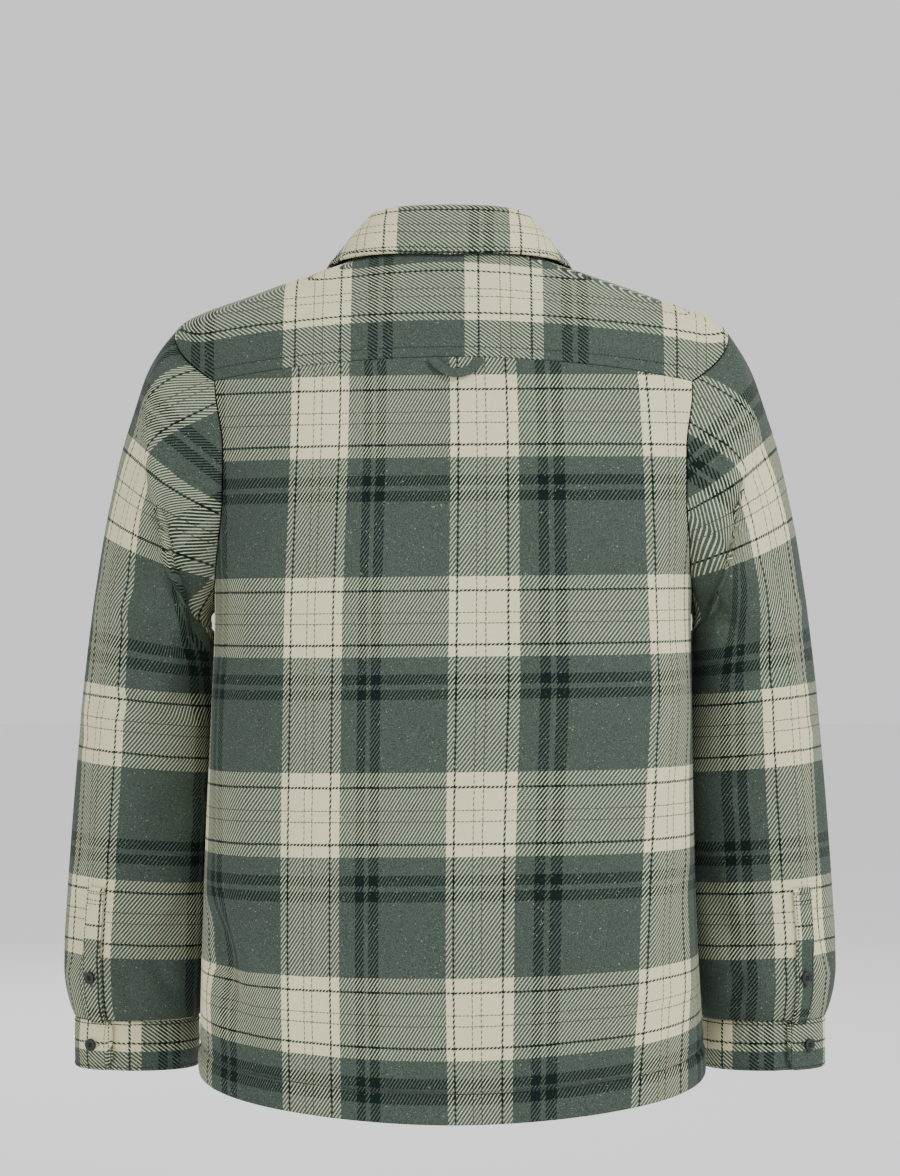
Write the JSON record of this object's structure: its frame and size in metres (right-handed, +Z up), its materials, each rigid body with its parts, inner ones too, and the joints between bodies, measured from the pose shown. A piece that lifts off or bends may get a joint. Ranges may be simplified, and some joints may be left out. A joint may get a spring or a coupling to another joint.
{
  "type": "plaid shacket, filled out as worn",
  "caption": "Buttoned plaid shirt jacket filled out as worn, hollow, with yoke, turned collar, cuffed sleeves and a hanger loop; worn on the shoulders.",
  "frame": {"origin": "centre of the neck, at the height of the collar seam at the back", "axes": "+Z up the standing wearer, -Y to the wearer's front, +X to the wearer's left"},
  "size_m": [0.6726, 0.2959, 0.7615],
  "materials": {
    "plaid_body": "brushed twill plaid, green and cream, cut along its length",
    "plaid_across": "the same brushed twill plaid, cut across",
    "button": "dark green-black four-hole button with a raised rim"
  },
  "bodies": {
    "root": {"back": "plaid_body", "yoke": "plaid_across", "front_left": "plaid_body", "front_right": "plaid_body", "sleeve_left": "plaid_body", "sleeve_right": "plaid_body", "cuff_left": "plaid_across", "cuff_right": "plaid_across", "collar": "plaid_across", "collar_stand": "plaid_across", "hanger_loop": "plaid_body", "front_placket": "plaid_body", "sleeve_placket_left": "plaid_body", "sleeve_placket_right": "plaid_body", "front_button_1": "button", "front_button_2": "button", "front_button_3": "button", "front_button_4": "button", "front_button_5": "button", "front_button_6": "button", "front_button_7": "button", "sleeve_button_left": "button", "sleeve_button_right": "button", "cuff_button_left": "button", "cuff_button_right": "button"}
  },
  "joints": []
}
